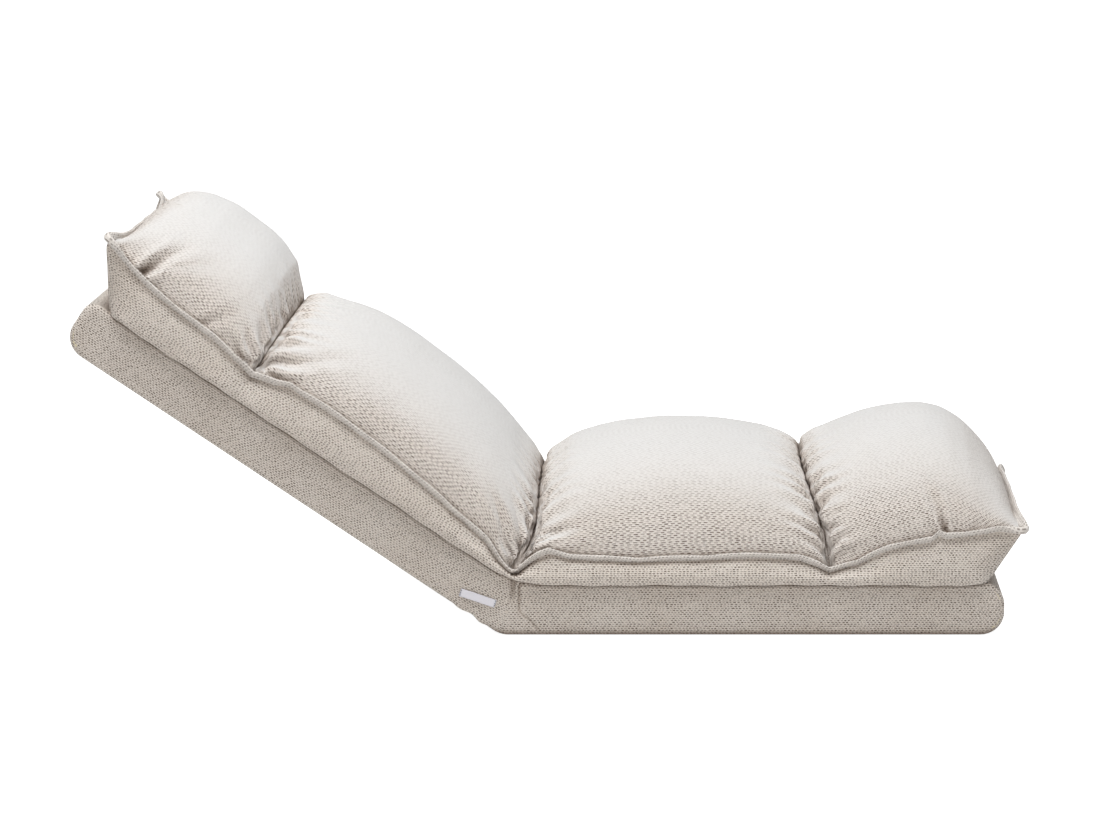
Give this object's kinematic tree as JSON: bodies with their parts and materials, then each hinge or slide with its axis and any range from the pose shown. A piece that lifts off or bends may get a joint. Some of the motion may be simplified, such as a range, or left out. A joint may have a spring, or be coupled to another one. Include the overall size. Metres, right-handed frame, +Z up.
{
  "type": "folding floor chair",
  "caption": "Floor lounger with a flat seat base, a back base that reclines on ratchet hinges, and a long stuffed topper in sewn chambers.",
  "frame": {"origin": "on the floor, under the middle of the seat base's flat underside", "axes": "+Z up; +X along the seat towards its foot end, so the back rises towards -X; +Y towards the sitter's left, the chair's mirror direction"},
  "size_m": [1.6357, 0.62, 0.7238],
  "materials": {
    "woven_cloth": "matte",
    "under_cloth": "matte",
    "foam": "matte",
    "painted_tube": "satin",
    "zinc_steel": "satin",
    "label_cloth": "matte"
  },
  "bodies": {
    "seat": {"seat_cover": "woven_cloth", "seat_under_cloth": "under_cloth", "seat_foam_upper": "foam", "seat_foam_lower": "foam", "seat_frame": "painted_tube", "seat_crossbar_rear": "painted_tube", "seat_crossbar_front": "painted_tube", "hinge_outer_plate_left": "zinc_steel", "hinge_inner_plate_left": "zinc_steel", "hinge_pivot_left": "zinc_steel", "pawl_pin_left": "zinc_steel", "pawl_spring_left": "zinc_steel", "seat_arm_rivet_left_1": "zinc_steel", "seat_arm_rivet_left_2": "zinc_steel", "hinge_outer_plate_right": "zinc_steel", "hinge_inner_plate_right": "zinc_steel", "hinge_pivot_right": "zinc_steel", "pawl_pin_right": "zinc_steel", "pawl_spring_right": "zinc_steel", "seat_arm_rivet_right_1": "zinc_steel", "seat_arm_rivet_right_2": "zinc_steel", "seat_cushion": "woven_cloth", "leg_cushion": "woven_cloth"},
    "back": {"back_cover": "woven_cloth", "back_under_cloth": "under_cloth", "back_foam_upper": "foam", "back_foam_lower": "foam", "back_frame": "painted_tube", "back_crossbar_lower": "painted_tube", "back_crossbar_upper": "painted_tube", "hinge_ratchet_left": "zinc_steel", "back_arm_rivet_left_1": "zinc_steel", "back_arm_rivet_left_2": "zinc_steel", "hinge_ratchet_right": "zinc_steel", "back_arm_rivet_right_1": "zinc_steel", "back_arm_rivet_right_2": "zinc_steel", "back_cushion": "woven_cloth", "head_pillow": "woven_cloth", "side_label": "label_cloth"},
    "pawl_left": {"pawl_left": "zinc_steel"},
    "pawl_right": {"pawl_right": "zinc_steel"}
  },
  "joints": [
    {"name": "back_recline", "type": "hinge", "parent": "seat", "child": "back", "pos_m": [-0.426, 0, 0.046], "axis": [0, 1, 0], "range_deg": [-34.2, 57], "deforming": ["seat_cushion", "back_cushion"]},
    {"name": "pawl_left_drop", "type": "hinge", "parent": "seat", "child": "pawl_left", "pos_m": [-0.38864, 0.253, 0.05402], "axis": [0, 1, 0], "range_deg": [0, 12], "stiffness_Nm_per_rad": 0.02, "springref_deg": 11.97, "deforming": ["pawl_spring_left"]},
    {"name": "pawl_right_drop", "type": "hinge", "parent": "seat", "child": "pawl_right", "pos_m": [-0.38864, -0.253, 0.05402], "axis": [0, 1, 0], "range_deg": [0, 12], "stiffness_Nm_per_rad": 0.02, "springref_deg": 11.97, "deforming": ["pawl_spring_right"]}
  ]
}
